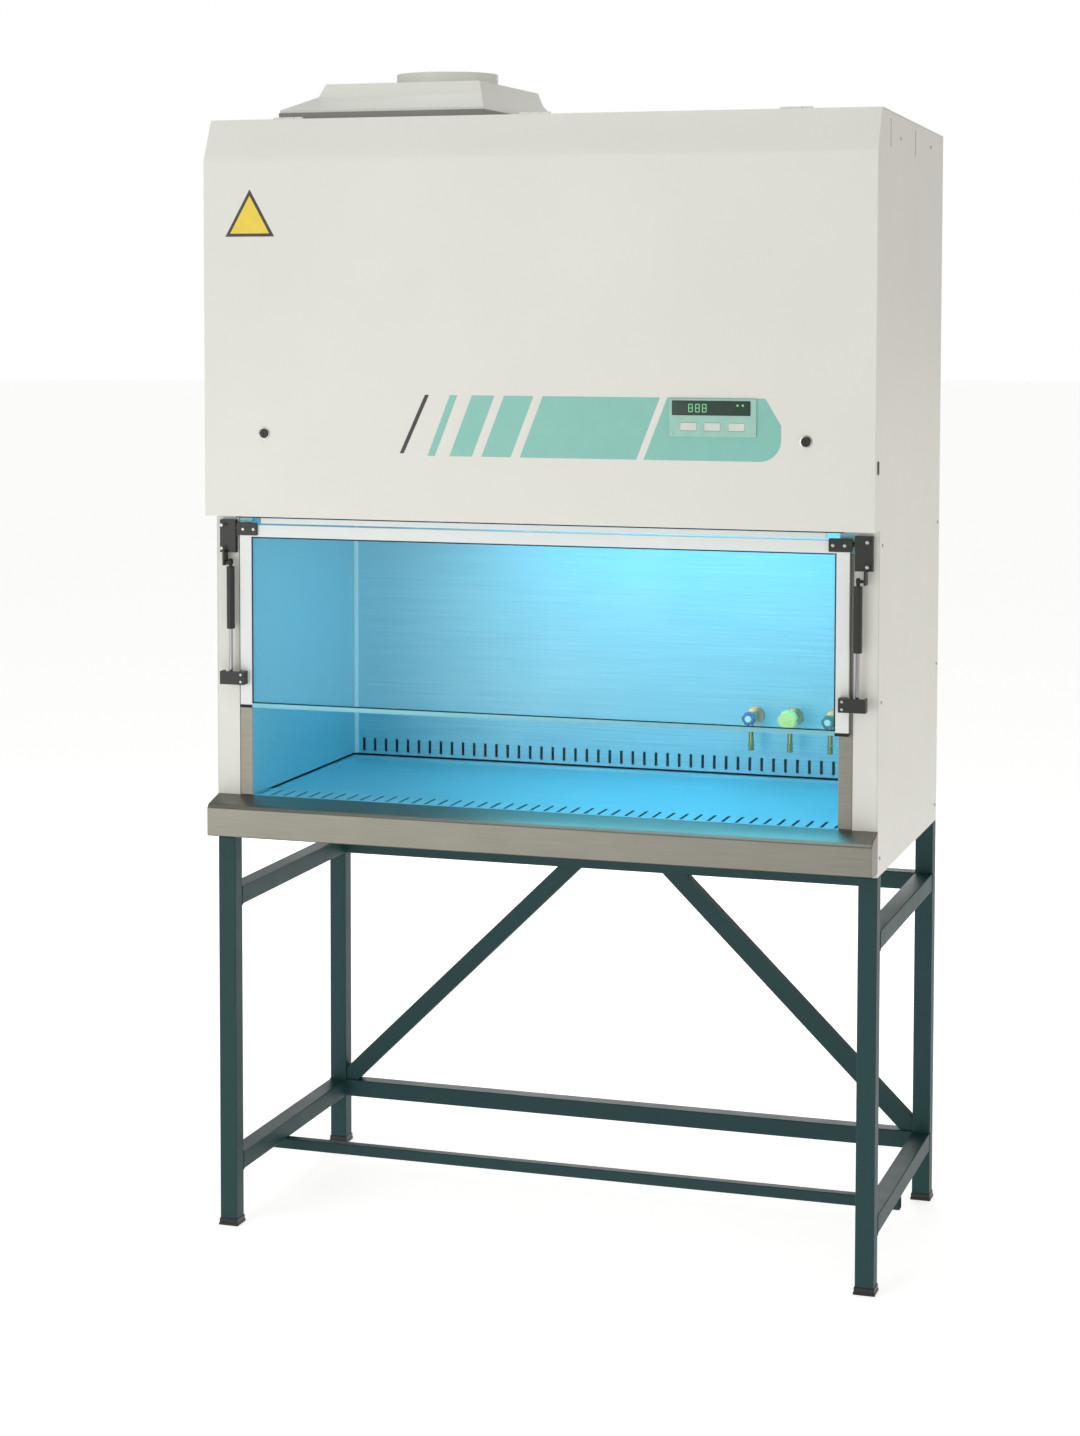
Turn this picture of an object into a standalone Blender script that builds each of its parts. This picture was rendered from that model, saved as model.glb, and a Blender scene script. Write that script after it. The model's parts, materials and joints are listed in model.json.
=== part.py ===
"""Class II safety cabinet on an open tubular stand, as an assembly of separate pieces.

Metres, +Z up. The origin is on the floor under the middle of the cabinet, the operator faces +Y and the
sash opens towards -Y. Every piece is one closed body in its own object, and a moving piece has its origin
on its joint's axis.
"""

import math

import bmesh
import bpy
from mathutils import Matrix, Vector

# Driving dimensions -------------------------------------------------------------------------------------
WIDTH = 1.32
DEPTH = 0.70
BASE_Z = 0.787
ROOF_FRONT_Z = 2.200
ROOF_REAR_Z = 2.180
SHEET = 0.002
GAP = 0.0003

HALF = WIDTH / 2
FRONT = -DEPTH / 2
REAR = DEPTH / 2
INSIDE = HALF - SHEET - GAP  # half width between the side panels

# Stand
TUBE = 0.036
TUBE_WALL = 0.002
UPPER_RAIL_Z = 0.645
LOWER_RAIL_Z = 0.106
FOOT_BAR = 0.022
FOOT_BAR_Y = -0.020
BRACE_TOP_X = 0.115
BRACE_Y = (0.319, 0.345)

# Casing
PILLAR_Y = -0.294  # front face of the pillars and of the front legs
PILLAR_DEPTH = 0.044
PILLAR_IN = 0.6122
HOOD_BOTTOM_Z = 1.430
HOOD_BACK_Y = -0.320
FACET_Z = 2.120
HOOD_AXIS_Y = -0.304
VENT_Y = (-0.227, 0.032)
VENT_SIZE = (0.008, 0.050)
ARMREST_Z = (0.798, 0.853, 0.8615, 0.8735)
PAN_RIM_Z = 0.8712

# Work chamber
CHAMBER_HALF = 0.585
CHAMBER_BACK = 0.270
LINER_Z = (0.8743, 1.449)
GRILLE_BACK = -0.2103
GRILLE_SLOTS = 44
WORKTOP_Z = (0.8603, 0.8703)
WORKTOP_RIM = 0.012
BACK_SLOTS = 46
SLOT_WIDTH = 0.006

# Air handling
FILTER_FRONT = -0.2497
SUPPLY_FILTER_Z = (1.4497, 1.530)
PLENUM_LOW_Z = 1.680
PLENUM_HIGH_Z = 2.000
PLENUM_STEP_X = -0.130
EXHAUST_X = (-0.500, -0.175)
EXHAUST_Y = (-0.180, 0.210)
EXHAUST_FILTER_TOP = 2.165
BLOWER_CENTRE = Vector((0.260, 0.0, 1.880))
SCROLL_HALF_WIDTH = 0.100
IMPELLER_RADIUS = 0.105
SHAFT_RADIUS = 0.008
COWL_X = (-0.548, -0.127)
COWL_Y = (-0.230, 0.260)
COWL_Z = (2.222, 2.250, 2.276, 2.302)
COLLAR_CENTRE = (-0.285, 0.020)
COLLAR_RADIUS = 0.1025

# Sash and its gas struts
SASH_HALF = 0.606
SASH_Z = (1.050, 1.411)
SASH_Y = (-0.306, -0.298)
SASH_STILE = 0.025
SASH_RAIL = 0.024
SASH_SILL = 0.008
SASH_AXIS = (-0.302, 1.404)  # y, z
STRUT_X = 0.623
STRUT_Y = -0.312
STRUT_TOP_Z = 1.337
STRUT_FOOT_Z = 1.110
STRUT_RADIUS = 0.008
STRUT_END_Z = 1.206
ROD_RADIUS = 0.0035
ROD_PLAY = 0.0007
EYE_THICK = 0.006
BRACKET_X = (0.615, 0.648)
BRACKET_Z = (1.355, 1.4195)
EAR_X = (0.634, 0.638)
FOOT_X = (0.590, 0.604, 0.637, 0.641)  # outer edge, web, ear inside, ear outside
FOOT_Y = (-0.3265, -0.3225, -0.3060)  # front face, web, end of the ear
FOOT_Z = (1.096, 1.122)

# Hood fittings
PANEL_X = (0.275, 0.440)
PANEL_Z = (1.600, 1.670)
PANEL_PROUD = 0.0028
BUTTON_X = (0.312, 0.3575, 0.403)
BUTTON_SIZE = (0.030, 0.014)
BUTTON_Z = 1.618
LOCK_X = (-0.534, 0.532)
LOCK_Z = 1.593
LOCK_RADIUS = 0.007
CATCH_YZ = (-0.327, 1.546)
PROUD = 0.0035

# Service taps on the back wall
TAP_X = (0.300, 0.381, 0.464)
TAP_Z = 0.998
TAP_KNOB_RADII = (0.014, 0.021, 0.014)

ROUND = 24
SMALL_ROUND = 16

COLOURS = {
    "ivory_paint": ((0.80, 0.79, 0.72), 0.45, 0.0),
    "teal_paint": ((0.05, 0.11, 0.12), 0.40, 0.0),
    "grey_paint": ((0.42, 0.42, 0.40), 0.45, 0.0),
    "white_paint": ((0.86, 0.87, 0.85), 0.35, 0.0),
    "stainless": ((0.55, 0.55, 0.53), 0.32, 1.0),
    "galvanised": ((0.50, 0.52, 0.53), 0.45, 1.0),
    "filter_media": ((0.85, 0.85, 0.82), 0.90, 0.0),
    "black_plastic": ((0.02, 0.02, 0.02), 0.45, 0.0),
    "black_metal": ((0.03, 0.03, 0.03), 0.40, 0.6),
    "rod_steel": ((0.70, 0.70, 0.72), 0.15, 1.0),
    "clear_glass": ((0.80, 0.95, 0.95), 0.02, 0.0),
    "lamp_white": ((0.95, 0.97, 1.00), 0.30, 0.0),
    "panel_plastic": ((0.70, 0.74, 0.70), 0.40, 0.0),
    "key_plastic": ((0.80, 0.82, 0.78), 0.40, 0.0),
    "yellow_plastic": ((0.80, 0.75, 0.15), 0.40, 0.0),
    "blue_plastic": ((0.05, 0.20, 0.45), 0.40, 0.0),
    "green_plastic": ((0.03, 0.28, 0.18), 0.40, 0.0),
    "brass": ((0.60, 0.48, 0.22), 0.30, 1.0),
}


def clear_scene():
    for obj in list(bpy.data.objects):
        bpy.data.objects.remove(obj, do_unlink=True)


def material(name):
    """A Principled BSDF material with the finish listed under COLOURS."""
    found = bpy.data.materials.get(name)
    if found:
        return found
    colour, roughness, metallic = COLOURS[name]
    made = bpy.data.materials.new(name)
    made.use_nodes = True
    made.diffuse_color = (*colour, 1.0)
    shader = made.node_tree.nodes["Principled BSDF"]
    shader.inputs["Base Color"].default_value = (*colour, 1.0)
    shader.inputs["Roughness"].default_value = roughness
    shader.inputs["Metallic"].default_value = metallic
    return made


def add(name, bm, finish, origin=None):
    """Turns a bmesh in world metres into a named object, with its own origin when one is given."""
    bmesh.ops.recalc_face_normals(bm, faces=bm.faces)
    mesh = bpy.data.meshes.new(name)
    bm.to_mesh(mesh)
    bm.free()
    obj = bpy.data.objects.new(name, mesh)
    if origin is not None:
        mesh.transform(Matrix.Translation(-Vector(origin)))
        obj.location = origin
    mesh.materials.append(material(finish))
    bpy.context.scene.collection.objects.link(obj)
    return obj


def smooth(obj, angle=40):
    obj.data.shade_smooth()
    obj.data.set_sharp_from_angle(angle=math.radians(angle))
    return obj


def add_box(bm, low, high):
    centre = (Vector(low) + Vector(high)) / 2
    size = Vector(high) - Vector(low)
    bmesh.ops.create_cube(bm, size=1.0, matrix=Matrix.Translation(centre) @ Matrix.Diagonal((*size, 1.0)))


def box(name, low, high, finish, origin=None):
    bm = bmesh.new()
    add_box(bm, low, high)
    return add(name, bm, finish, origin)


def place(axis, across, along):
    """A world point from a section point and a distance along the axis it is extruded or turned on."""
    if axis == "X":
        return (along, across[0], across[1])
    if axis == "Y":
        return (across[0], along, across[1])
    return (across[0], across[1], along)


def loft_rings(bm, rings):
    """A closed solid through rings of points, with flat ends."""
    loops = [[bm.verts.new(point) for point in ring] for ring in rings]
    count = len(loops[0])
    for lower, upper in zip(loops, loops[1:]):
        for i in range(count):
            j = (i + 1) % count
            bm.faces.new((lower[i], lower[j], upper[j], upper[i]))
    bm.faces.new(loops[0])
    bm.faces.new(loops[-1])


def add_prism(bm, outline, axis, start, end):
    loft_rings(bm, [[place(axis, p, start) for p in outline], [place(axis, p, end) for p in outline]])


def prism(name, outline, axis, start, end, finish, origin=None):
    bm = bmesh.new()
    add_prism(bm, outline, axis, start, end)
    return add(name, bm, finish, origin)


def circle(radius, count, centre=(0.0, 0.0)):
    steps = [2 * math.pi * (i + 0.5) / count for i in range(count)]
    return [(centre[0] + radius * math.cos(a), centre[1] + radius * math.sin(a)) for a in steps]


def add_turned(bm, profile, axis, centre, count):
    """Turns (radius, distance) points round an axis. A profile off the axis is closed on itself."""
    rings = []
    for radius, along in profile:
        if radius == 0:
            rings.append([bm.verts.new(place(axis, centre, along))])
        else:
            rings.append([bm.verts.new(place(axis, p, along)) for p in circle(radius, count, centre)])
    pairs = list(zip(rings, rings[1:]))
    if profile[0][0] != 0:
        pairs.append((rings[-1], rings[0]))
    for first, second in pairs:
        for i in range(count):
            j = (i + 1) % count
            corners = [first[i % len(first)], first[j % len(first)]]
            corners += [second[j % len(second)], second[i % len(second)]]
            bm.faces.new(list(dict.fromkeys(corners)))


def turned(name, profile, axis, centre, finish, origin=None, count=ROUND):
    bm = bmesh.new()
    add_turned(bm, profile, axis, centre, count)
    return smooth(add(name, bm, finish, origin))


def combine(target, tool, operation):
    """Cuts the tool from the target, or joins the two, and leaves the tool out of the model."""
    modifier = target.modifiers.new(f"{operation.lower()}_{tool.name}", "BOOLEAN")
    modifier.operation = operation
    modifier.object = tool
    modifier.solver = "EXACT"
    tool.hide_render = True
    tool.display_type = "WIRE"
    return target


def cut(target, tool):
    return combine(target, tool, "DIFFERENCE")


def join(target, tool):
    return combine(target, tool, "UNION")


def roof_under(y):
    """Height of the underside of the sloping roof."""
    share = (y - HOOD_AXIS_Y) / (REAR - HOOD_AXIS_Y)
    return ROOF_FRONT_Z - SHEET - (ROOF_FRONT_Z - ROOF_REAR_Z) * share


def sides():
    """Both sides of the cabinet, as (word, sign of x)."""
    return (("left", -1), ("right", 1))


def span(sign, near, far):
    """Low and high x of a piece that lies between two distances from the middle, on one side."""
    return tuple(sorted((sign * near, sign * far)))


# Stand ---------------------------------------------------------------------------------------------------
def make_tube(name, low, high, axis):
    """A square steel tube, open at both ends."""
    tube = box(name, low, high, "teal_paint")
    inner_low = list(low)
    inner_high = list(high)
    for i, letter in enumerate("XYZ"):
        if letter == axis:
            inner_low[i] -= TUBE
            inner_high[i] += TUBE
        else:
            inner_low[i] += TUBE_WALL
            inner_high[i] -= TUBE_WALL
    return cut(tube, box(f"cutter_{name}", inner_low, inner_high, "teal_paint"))


def make_legs():
    """Square legs with a plate in the foot, open at the top under the cabinet."""
    rows = (("front", PILLAR_Y, PILLAR_Y + TUBE), ("rear", REAR - TUBE, REAR))
    for side, sign in sides():
        x0, x1 = span(sign, HALF - TUBE, HALF)
        for row, y0, y1 in rows:
            name = f"leg_{row}_{side}"
            leg = box(name, (x0, y0, 0), (x1, y1, BASE_Z - GAP), "teal_paint")
            low = (x0 + TUBE_WALL, y0 + TUBE_WALL, TUBE_WALL)
            high = (x1 - TUBE_WALL, y1 - TUBE_WALL, BASE_Z + TUBE)
            cut(leg, box(f"cutter_{name}", low, high, "teal_paint"))


def make_rails():
    y0 = PILLAR_Y + TUBE + GAP
    y1 = REAR - TUBE - GAP
    for level, z in (("upper", UPPER_RAIL_Z), ("lower", LOWER_RAIL_Z)):
        for side, sign in sides():
            x0, x1 = span(sign, HALF - TUBE, HALF)
            make_tube(f"{level}_side_rail_{side}", (x0, y0, z), (x1, y1, z + TUBE), "Y")
        x = HALF - TUBE - GAP
        make_tube(f"{level}_rear_rail", (-x, REAR - TUBE, z), (x, REAR, z + TUBE), "X")


def make_foot_bar():
    """Thin bar under the lower side rails."""
    y0 = FOOT_BAR_Y - FOOT_BAR / 2
    z1 = LOWER_RAIL_Z - GAP
    make_tube("foot_bar", (-HALF, y0, z1 - FOOT_BAR), (HALF, y0 + FOOT_BAR, z1), "X")


def make_braces():
    """Diagonal ties from the lower rear corners to the middle of the upper rear rail."""
    corner = Vector((-(HALF - TUBE - GAP), LOWER_RAIL_Z + TUBE + GAP))
    top_z = UPPER_RAIL_Z - GAP
    top = Vector((-BRACE_TOP_X, top_z))
    along = (top - corner).normalized()
    across = Vector((-along.y, along.x)) * TUBE / 2

    def on_edge(offset, axis, value):
        start = corner + offset
        return start + along * ((value - start[axis]) / along[axis])

    outline = [
        corner,
        on_edge(-across, 1, corner.y),
        on_edge(-across, 1, top_z),
        on_edge(across, 1, top_z),
        on_edge(across, 0, corner.x),
    ]
    for side, sign in sides():
        mirrored = [(-sign * p.x, p.y) for p in outline]
        prism(f"brace_{side}", mirrored, "Y", BRACE_Y[0], BRACE_Y[1], "teal_paint")


# Casing --------------------------------------------------------------------------------------------------
def make_side_panels():
    back = HOOD_BACK_Y + GAP
    axis_y = HOOD_AXIS_Y + GAP
    outline = [
        (PILLAR_Y, BASE_Z),
        (PILLAR_Y, HOOD_BOTTOM_Z - GAP),
        (back, HOOD_BOTTOM_Z - GAP),
        (back, FACET_Z + 0.030),
        (axis_y, FACET_Z + 0.050),
        (axis_y, roof_under(axis_y) - GAP),
        (REAR, roof_under(REAR) - GAP),
        (REAR, BASE_Z),
    ]
    width, height = VENT_SIZE
    for side, sign in sides():
        x0, x1 = span(sign, HALF - SHEET, HALF)
        panel = prism(f"side_panel_{side}", outline, "X", x0, x1, "ivory_paint")
        bm = bmesh.new()
        for y in VENT_Y:
            top = roof_under(y) - 0.012
            add_box(bm, (x0 - SHEET, y - width / 2, top - height), (x1 + SHEET, y + width / 2, top))
        cut(panel, add(f"cutter_vents_{side}", bm, "ivory_paint"))


def make_back_panel():
    low = (-INSIDE, REAR - SHEET, BASE_Z)
    high = (INSIDE, REAR, roof_under(REAR) - GAP)
    box("back_panel", low, high, "ivory_paint")


def make_roof():
    front = HOOD_AXIS_Y + GAP
    outline = [
        (front, roof_under(front)),
        (front, roof_under(front) + SHEET),
        (REAR, roof_under(REAR) + SHEET),
        (REAR, roof_under(REAR)),
    ]
    roof = prism("roof_panel", outline, "X", -HALF, HALF, "ivory_paint")
    low = (EXHAUST_X[0], EXHAUST_Y[0], ROOF_REAR_Z - 0.05)
    high = (EXHAUST_X[1], EXHAUST_Y[1], ROOF_FRONT_Z + 0.05)
    cut(roof, box("cutter_roof_opening", low, high, "ivory_paint"))


def make_hood():
    """Hinged front cover: a folded steel shell with a slanted top, open at the back."""
    axis = (0, HOOD_AXIS_Y, ROOF_FRONT_Z)
    outer = [
        (FRONT, HOOD_BOTTOM_Z),
        (FRONT, FACET_Z),
        (HOOD_AXIS_Y - 0.008, ROOF_FRONT_Z),
        (HOOD_AXIS_Y, ROOF_FRONT_Z),
        (HOOD_AXIS_Y, FACET_Z + 0.050 - GAP),
        (HOOD_BACK_Y, FACET_Z + 0.030 - GAP),
        (HOOD_BACK_Y, HOOD_BOTTOM_Z),
    ]
    beyond = HOOD_AXIS_Y + 0.02
    inner = [
        (FRONT + SHEET, HOOD_BOTTOM_Z + SHEET),
        (FRONT + SHEET, FACET_Z - SHEET / 2),
        (HOOD_AXIS_Y - 0.007, ROOF_FRONT_Z - SHEET),
        (beyond, ROOF_FRONT_Z - SHEET),
        (beyond, HOOD_BOTTOM_Z + SHEET),
    ]
    hood = prism("hood_cover", outer, "X", -HALF, HALF, "ivory_paint", axis)
    cut(hood, prism("cutter_hood", inner, "X", -HALF + SHEET, HALF - SHEET, "ivory_paint"))


def make_armrest():
    """Folded stainless front edge, open below and behind."""
    low, face, edge, top = ARMREST_Z
    back = PILLAR_Y - GAP
    nose = FRONT + 0.008
    outer = [(FRONT, low), (FRONT, face), (nose, edge), (back, top), (back, low)]
    beyond = back + 0.02
    inner = [
        (FRONT + SHEET, low - 0.02),
        (FRONT + SHEET, face - SHEET / 2),
        (nose + SHEET / 2, edge - SHEET),
        (back, top - SHEET),
        (beyond, top - SHEET),
        (beyond, low - 0.02),
    ]
    armrest = prism("armrest", outer, "X", -HALF, HALF, "stainless")
    cut(armrest, prism("cutter_armrest", inner, "X", -HALF + SHEET, HALF - SHEET, "stainless"))


def make_sump_pan():
    """Shallow pan under the worktop that closes the cabinet below."""
    y0 = PILLAR_Y + GAP
    y1 = REAR - SHEET - GAP
    pan = box("sump_pan", (-INSIDE, y0, BASE_Z), (INSIDE, y1, PAN_RIM_Z), "stainless")
    low = (-INSIDE + SHEET, y0 + SHEET, BASE_Z + SHEET)
    high = (INSIDE - SHEET, y1 - SHEET, PAN_RIM_Z + 0.02)
    cut(pan, box("cutter_sump_pan", low, high, "stainless"))


def make_pillars():
    """White posts beside the window, folded as tubes that are open at both ends."""
    z0 = PAN_RIM_Z + GAP
    z1 = HOOD_BOTTOM_Z - GAP
    for side, sign in sides():
        x0, x1 = span(sign, PILLAR_IN, INSIDE)
        post = box(f"pillar_{side}", (x0, PILLAR_Y, z0), (x1, PILLAR_Y + PILLAR_DEPTH, z1), "ivory_paint")
        low = (x0 + SHEET, PILLAR_Y + SHEET, z0 - 0.02)
        high = (x1 - SHEET, PILLAR_Y + PILLAR_DEPTH - SHEET, z1 + 0.02)
        cut(post, box(f"cutter_pillar_{side}", low, high, "ivory_paint"))


# Work chamber --------------------------------------------------------------------------------------------
def make_liners():
    """Stainless walls of the chamber. The side walls fold outwards into the window jambs."""
    jamb = PILLAR_Y + SHEET
    jamb_end = PILLAR_IN - 2 * GAP
    for side, sign in sides():
        section = [
            (CHAMBER_HALF, jamb),
            (jamb_end, jamb),
            (jamb_end, jamb + SHEET),
            (CHAMBER_HALF + SHEET, jamb + SHEET),
            (CHAMBER_HALF + SHEET, CHAMBER_BACK - GAP),
            (CHAMBER_HALF, CHAMBER_BACK - GAP),
        ]
        outline = [(sign * x, y) for x, y in section]
        prism(f"liner_{side}", outline, "Z", LINER_Z[0], LINER_Z[1], "stainless")


def slot_row(name, count, half_width, y, z):
    """A row of box cutters along X, for slots of one width at an even pitch."""
    bm = bmesh.new()
    pitch = 2 * half_width / count
    for i in range(count):
        x = -half_width + pitch * (i + 0.5)
        add_box(bm, (x - SLOT_WIDTH / 2, y[0], z[0]), (x + SLOT_WIDTH / 2, y[1], z[1]))
    return add(name, bm, "stainless")


def make_back_liner():
    """Back wall of the chamber, with the return air slots along its foot."""
    half = CHAMBER_HALF + SHEET
    low = (-half, CHAMBER_BACK, LINER_Z[0])
    high = (half, CHAMBER_BACK + SHEET, LINER_Z[1])
    wall = box("liner_back", low, high, "stainless")
    y = (CHAMBER_BACK - 0.01, CHAMBER_BACK + 0.012)
    z = (LINER_Z[0] + 0.006, LINER_Z[0] + 0.034)
    cut(wall, slot_row("cutter_back_slots", BACK_SLOTS, CHAMBER_HALF - 0.01, y, z))


def make_front_grille():
    """Slotted plate between the armrest and the worktop that takes in the room air."""
    half = PILLAR_IN - 2 * GAP
    top = ARMREST_Z[3]
    front = PILLAR_Y + GAP
    grille = box("front_grille", (-half, front, top - SHEET), (half, GRILLE_BACK, top), "stainless")
    y = (front + 0.010, GRILLE_BACK - 0.010)
    z = (top - 0.01, top + 0.01)
    cut(grille, slot_row("cutter_grille_slots", GRILLE_SLOTS, half - 0.020, y, z))


def make_worktop():
    """Dished work surface that stands on four feet in the sump pan."""
    half = CHAMBER_HALF - GAP
    y0 = GRILLE_BACK + GAP
    y1 = CHAMBER_BACK - GAP
    z0, z1 = WORKTOP_Z
    top = box("worktop", (-half, y0, z0), (half, y1, z1), "stainless")
    foot = 0.020
    inset = 0.030
    floor = BASE_Z + SHEET + GAP
    bm = bmesh.new()
    for x in (-half + inset, half - inset - foot):
        for y in (y0 + inset, y1 - inset - foot):
            add_box(bm, (x, y, floor), (x + foot, y + foot, z0 + 0.002))
    join(top, add("joined_worktop_feet", bm, "stainless"))
    low = (-half + WORKTOP_RIM, y0 + WORKTOP_RIM, z0 + 0.004)
    high = (half - WORKTOP_RIM, y1 - WORKTOP_RIM, z1 + 0.01)
    cut(top, box("cutter_worktop", low, high, "stainless"))


# Air handling --------------------------------------------------------------------------------------------
def make_filter(name, x, y, z):
    """A box filter whose frame stands 8 mm proud of the media on its upper and lower faces."""
    frame = 0.018
    recess = 0.008
    body = box(name, (x[0], y[0], z[0]), (x[1], y[1], z[1]), "filter_media")
    bm = bmesh.new()
    inner = ((x[0] + frame, y[0] + frame), (x[1] - frame, y[1] - frame))
    add_box(bm, (*inner[0], z[0] - recess), (*inner[1], z[0] + recess))
    add_box(bm, (*inner[0], z[1] - recess), (*inner[1], z[1] + recess))
    return cut(body, add(f"cutter_{name}", bm, "filter_media"))


def make_filters():
    half = CHAMBER_HALF - GAP
    make_filter("supply_filter", (-half, half), (FILTER_FRONT, CHAMBER_BACK - GAP), SUPPLY_FILTER_Z)
    x = (EXHAUST_X[0] - 0.02, EXHAUST_X[1] + 0.02)
    y = (EXHAUST_Y[0] - 0.02, EXHAUST_Y[1] + 0.02)
    make_filter("exhaust_filter", x, y, (PLENUM_HIGH_Z + GAP, EXHAUST_FILTER_TOP))


def plenum_outline(inset, floor):
    half = CHAMBER_HALF - GAP - inset
    step = PLENUM_STEP_X - inset
    return [
        (-half, floor),
        (half, floor),
        (half, PLENUM_LOW_Z - inset),
        (step, PLENUM_LOW_Z - inset),
        (step, PLENUM_HIGH_Z - inset),
        (-half, PLENUM_HIGH_Z - inset),
    ]


def make_plenum():
    """Pressure box over the supply filter, open below, that also rises to the exhaust filter."""
    y0 = FILTER_FRONT
    y1 = CHAMBER_BACK - GAP
    floor = SUPPLY_FILTER_Z[1] + GAP
    plenum = prism("plenum_box", plenum_outline(0, floor), "Y", y0, y1, "galvanised")
    inner = plenum_outline(SHEET, floor - 0.02)
    cut(plenum, prism("cutter_plenum", inner, "Y", y0 + SHEET, y1 - SHEET, "galvanised"))
    bm = bmesh.new()
    hole_low = (EXHAUST_X[0], EXHAUST_Y[0], PLENUM_HIGH_Z - 0.02)
    hole_high = (EXHAUST_X[1], EXHAUST_Y[1], PLENUM_HIGH_Z + 0.02)
    add_box(bm, hole_low, hole_high)
    neck = SCROLL_HALF_WIDTH - 0.006
    x = BLOWER_CENTRE.x
    add_box(bm, (x - neck, 0.062, PLENUM_LOW_Z - 0.02), (x + neck, 0.180, PLENUM_LOW_Z + 0.02))
    cut(plenum, add("cutter_plenum_openings", bm, "galvanised"))


def scroll_outline(wall):
    """Spiral housing with a neck that blows straight down."""
    start, end = math.radians(-67), math.radians(-360)
    steps = 18
    points = []
    for i in range(steps + 1):
        share = i / steps
        radius = 0.130 + 0.060 * share - wall
        angle = start + (end - start) * share
        y = BLOWER_CENTRE.y + radius * math.cos(angle)
        z = BLOWER_CENTRE.z + radius * math.sin(angle)
        points.append((y, z))
    bottom = PLENUM_LOW_Z + GAP - 4 * wall
    points.append((BLOWER_CENTRE.y + 0.190 - wall, bottom))
    points.append((BLOWER_CENTRE.y + 0.052 + wall, bottom))
    return points


def make_scroll():
    x = BLOWER_CENTRE.x
    half = SCROLL_HALF_WIDTH
    wall = 0.003
    scroll = prism("blower_scroll", scroll_outline(0), "X", x - half, x + half, "galvanised")
    inside = scroll_outline(wall)
    cut(scroll, prism("cutter_scroll", inside, "X", x - half + wall, x + half - wall, "galvanised"))
    inlet = circle(0.080, ROUND, (BLOWER_CENTRE.y, BLOWER_CENTRE.z))
    cut(scroll, prism("cutter_scroll_inlet", inlet, "X", x - half - 0.02, x + half + 0.02, "galvanised"))


def make_impeller():
    """Drum with a centre plate on a bored hub, and slots between its blades."""
    x = BLOWER_CENTRE.x
    half = 0.082
    outer = IMPELLER_RADIUS
    inner = outer - 0.012
    plate = 0.003
    hub = 0.020
    bore = SHAFT_RADIUS + 0.0008
    profile = [
        (bore, x - hub),
        (hub, x - hub),
        (hub, x - plate),
        (inner, x - plate),
        (inner, x - half),
        (outer, x - half),
        (outer, x + half),
        (inner, x + half),
        (inner, x + plate),
        (hub, x + plate),
        (hub, x + hub),
        (bore, x + hub),
    ]
    centre = (BLOWER_CENTRE.y, BLOWER_CENTRE.z)
    drum = turned("impeller", profile, "X", centre, "galvanised", tuple(BLOWER_CENTRE))
    bm = bmesh.new()
    blades = 16
    for i in range(blades):
        turn = Matrix.Rotation(2 * math.pi * i / blades, 4, "X")
        for low, high in ((-half + 0.008, -0.008), (0.008, half - 0.008)):
            middle = Vector(((low + high) / 2, outer - 0.006, 0))
            size = (high - low, 0.030, 0.020, 1.0)
            shape = Matrix.Translation(BLOWER_CENTRE) @ turn @ Matrix.Translation(middle)
            bmesh.ops.create_cube(bm, size=1.0, matrix=shape @ Matrix.Diagonal(size))
    cut(drum, add("cutter_impeller", bm, "galvanised"))


def make_motor():
    """Motor beside the scroll, on a strap across the inlet, with its shaft in the impeller's hub."""
    edge = BLOWER_CENTRE.x + SCROLL_HALF_WIDTH
    centre = (BLOWER_CENTRE.y, BLOWER_CENTRE.z)
    strap = 0.006
    profile = [
        (0, BLOWER_CENTRE.x - 0.030),
        (SHAFT_RADIUS, BLOWER_CENTRE.x - 0.030),
        (SHAFT_RADIUS, edge + 0.010),
        (0.055, edge + 0.014),
        (0.055, edge + 0.110),
        (0.040, edge + 0.120),
        (0, edge + 0.120),
    ]
    motor = turned("blower_motor", profile, "X", centre, "black_metal")
    low = (edge + GAP, centre[0] - 0.012, centre[1] - 0.115)
    high = (edge + GAP + strap, centre[0] + 0.012, centre[1] + 0.115)
    bm = bmesh.new()
    add_box(bm, low, high)
    neck = circle(0.030, SMALL_ROUND, centre)
    strap_bar = add("joined_motor_strap", bm, "black_metal")
    join(motor, strap_bar)
    join(motor, prism("joined_motor_neck", neck, "X", edge + 0.002, edge + 0.020, "black_metal"))


def cowl_rings(wall):
    """Corner rings of the exhaust cowl: a plinth on the sloping roof, a bevel and an upper tier."""
    x0, x1 = COWL_X[0] + wall, COWL_X[1] - wall
    y0, y1 = COWL_Y[0] + wall, COWL_Y[1] - wall

    def ring(left, right, front, rear, z):
        xa, xb = x0 + left, x1 - right
        ya, yb = y0 + front, y1 - rear
        corners = ((xa, ya), (xb, ya), (xb, yb), (xa, yb))
        return [(x, y, z if z else roof_under(y) + SHEET + GAP - 8 * wall) for x, y in corners]

    return [
        ring(0, 0, 0, 0, None),
        ring(0, 0, 0, 0, COWL_Z[0] - wall / 2),
        ring(0.060, 0.022, 0.055, 0.030, COWL_Z[1] - wall),
        ring(0.072, 0.030, 0.066, 0.040, COWL_Z[2] - wall),
    ]


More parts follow.
